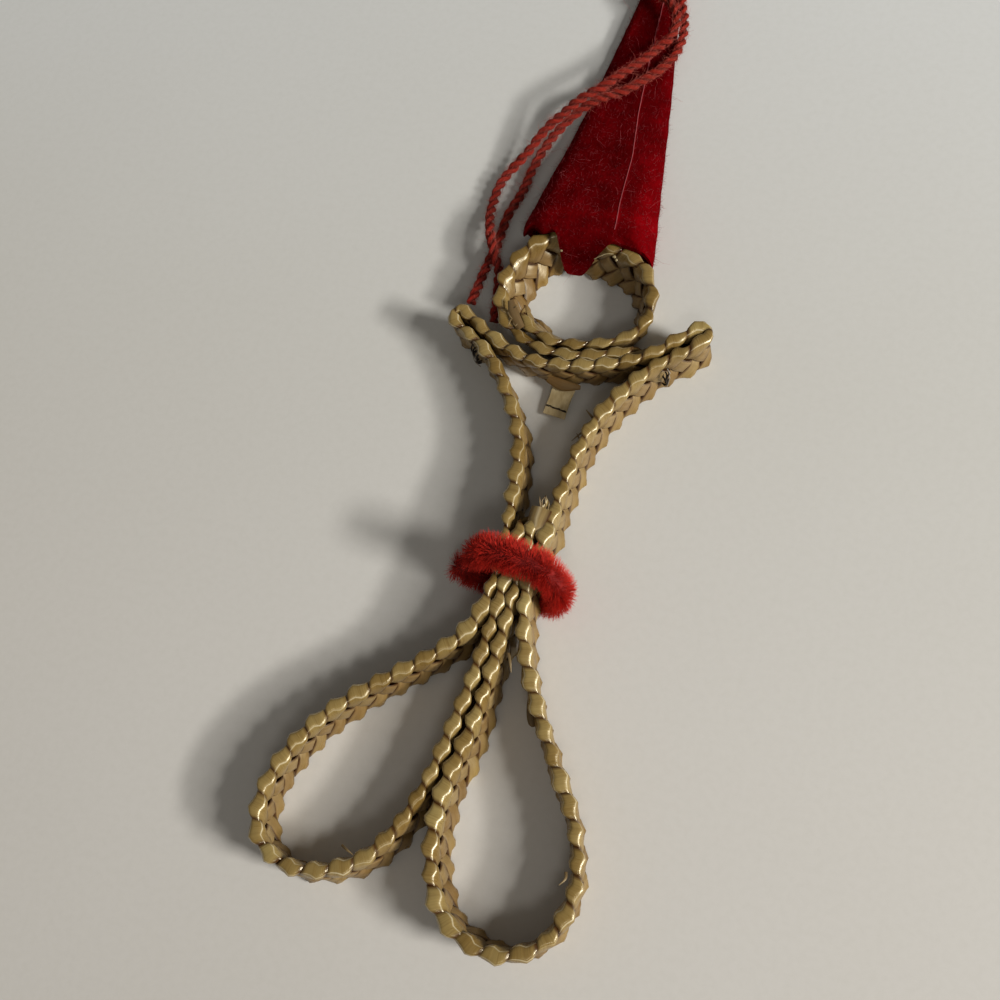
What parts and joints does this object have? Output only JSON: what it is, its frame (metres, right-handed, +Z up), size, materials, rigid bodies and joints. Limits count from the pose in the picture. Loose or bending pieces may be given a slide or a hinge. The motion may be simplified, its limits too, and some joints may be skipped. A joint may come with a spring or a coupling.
{
  "type": "straw ornament",
  "caption": "Flat straw gnome ornament: plaited straw bent into legs, arms and an open face, with a felt hat, a chenille waist tie and a yarn loop to hang it by.",
  "frame": {"origin": "middle of the outline, on the table that the gnome lies on", "axes": "+Y from the toes to the tip of the hat, +Z up through the plaits' width, +X to the viewer's right"},
  "size_m": [0.0462, 0.162, 0.0135],
  "materials": {
    "straw": "split wheat straw, golden, glossy skin outwards",
    "felt": "deep red wool felt, about 1 mm thick, fuzzy",
    "chenille": "bright red chenille pile on a twisted wire",
    "yarn": "orange-red two-ply wool yarn",
    "tab": "pale straw-coloured strip with a thin dark line",
    "tie": "dark thread, knotted"
  },
  "bodies": {
    "root": {"body_plait": "straw", "face_ring": "straw", "hat": "felt", "waist_chenille": "chenille", "hanging_yarn": "yarn", "shoulder_tab": "tab", "shoulder_tie_left": "tie", "shoulder_tie_right": "tie"}
  },
  "joints": []
}
